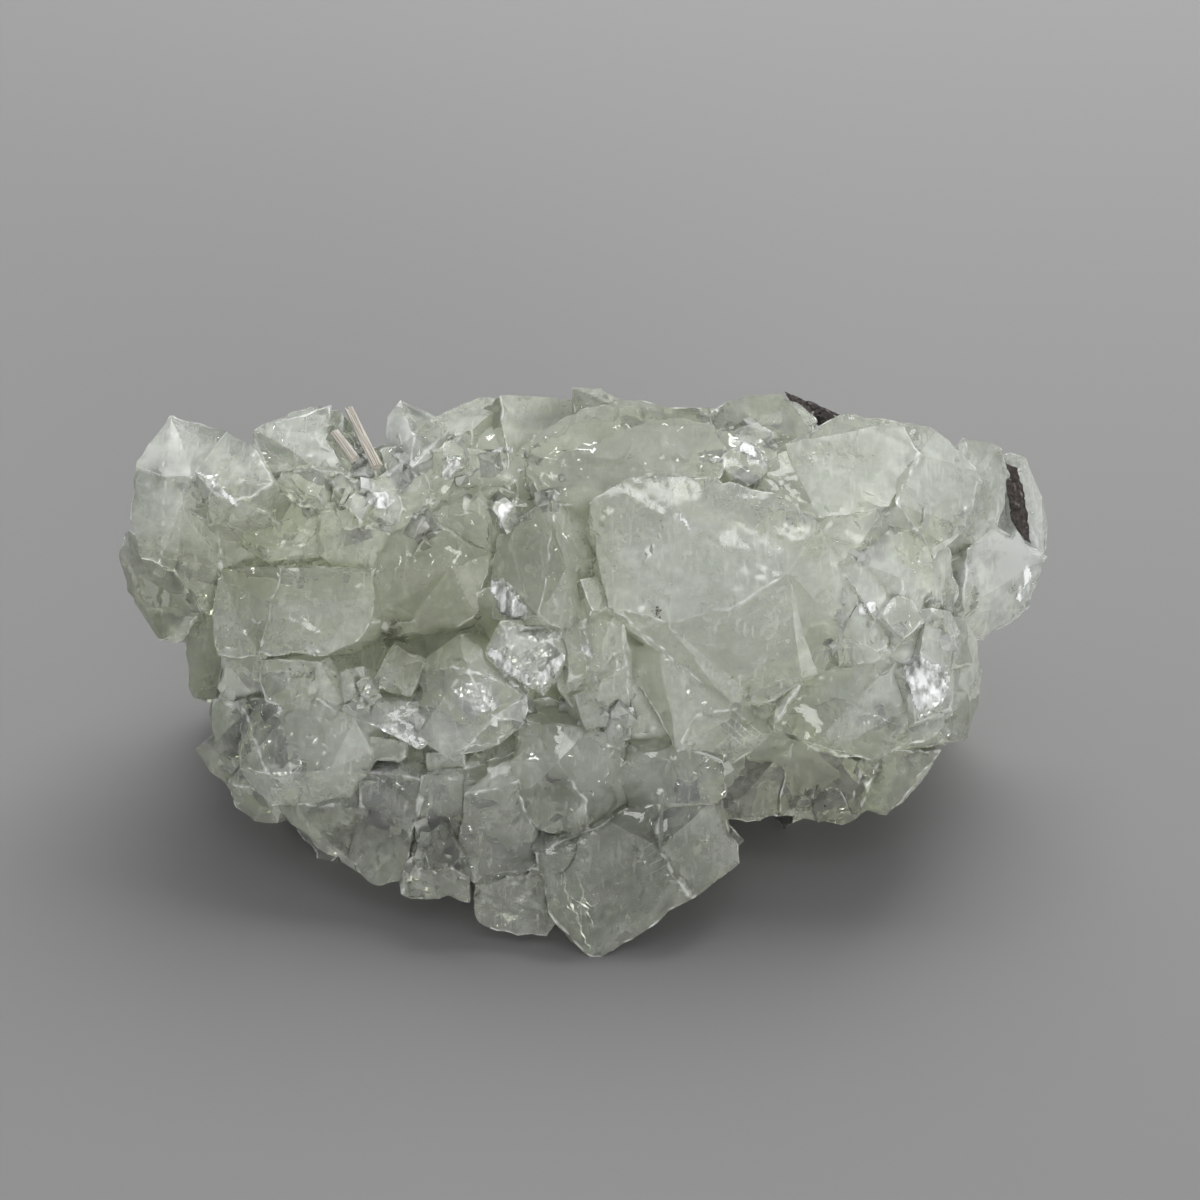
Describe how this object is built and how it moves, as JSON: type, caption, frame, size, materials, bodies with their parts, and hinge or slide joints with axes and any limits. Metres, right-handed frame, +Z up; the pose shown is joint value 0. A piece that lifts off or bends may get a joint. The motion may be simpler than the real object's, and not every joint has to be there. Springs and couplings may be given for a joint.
{
  "type": "apophyllite crystal cluster",
  "caption": "Loose palm-sized cluster of intergrown clear to pale green square-prism crystals, with a sloping display face, a pointed front toe and a flat broken base to rest on.",
  "frame": {"origin": "bottom centre of the cluster's bounding box, on the surface that it rests on", "axes": "+X along the crest to the right, +Y from the display face to the back, +Z up"},
  "size_m": [0.0758, 0.044, 0.0293],
  "materials": {
    "clear_crystal": "vitreous, clear to milky, pale green",
    "basalt": "matte dark host rock",
    "stilbite": "pearly, pinkish white"
  },
  "bodies": {
    "root": {"crystal_cluster": "clear_crystal", "basalt_chip_top": "basalt", "basalt_chip_right": "basalt", "stilbite_blade_long": "stilbite", "stilbite_blade_short": "stilbite"}
  },
  "joints": []
}
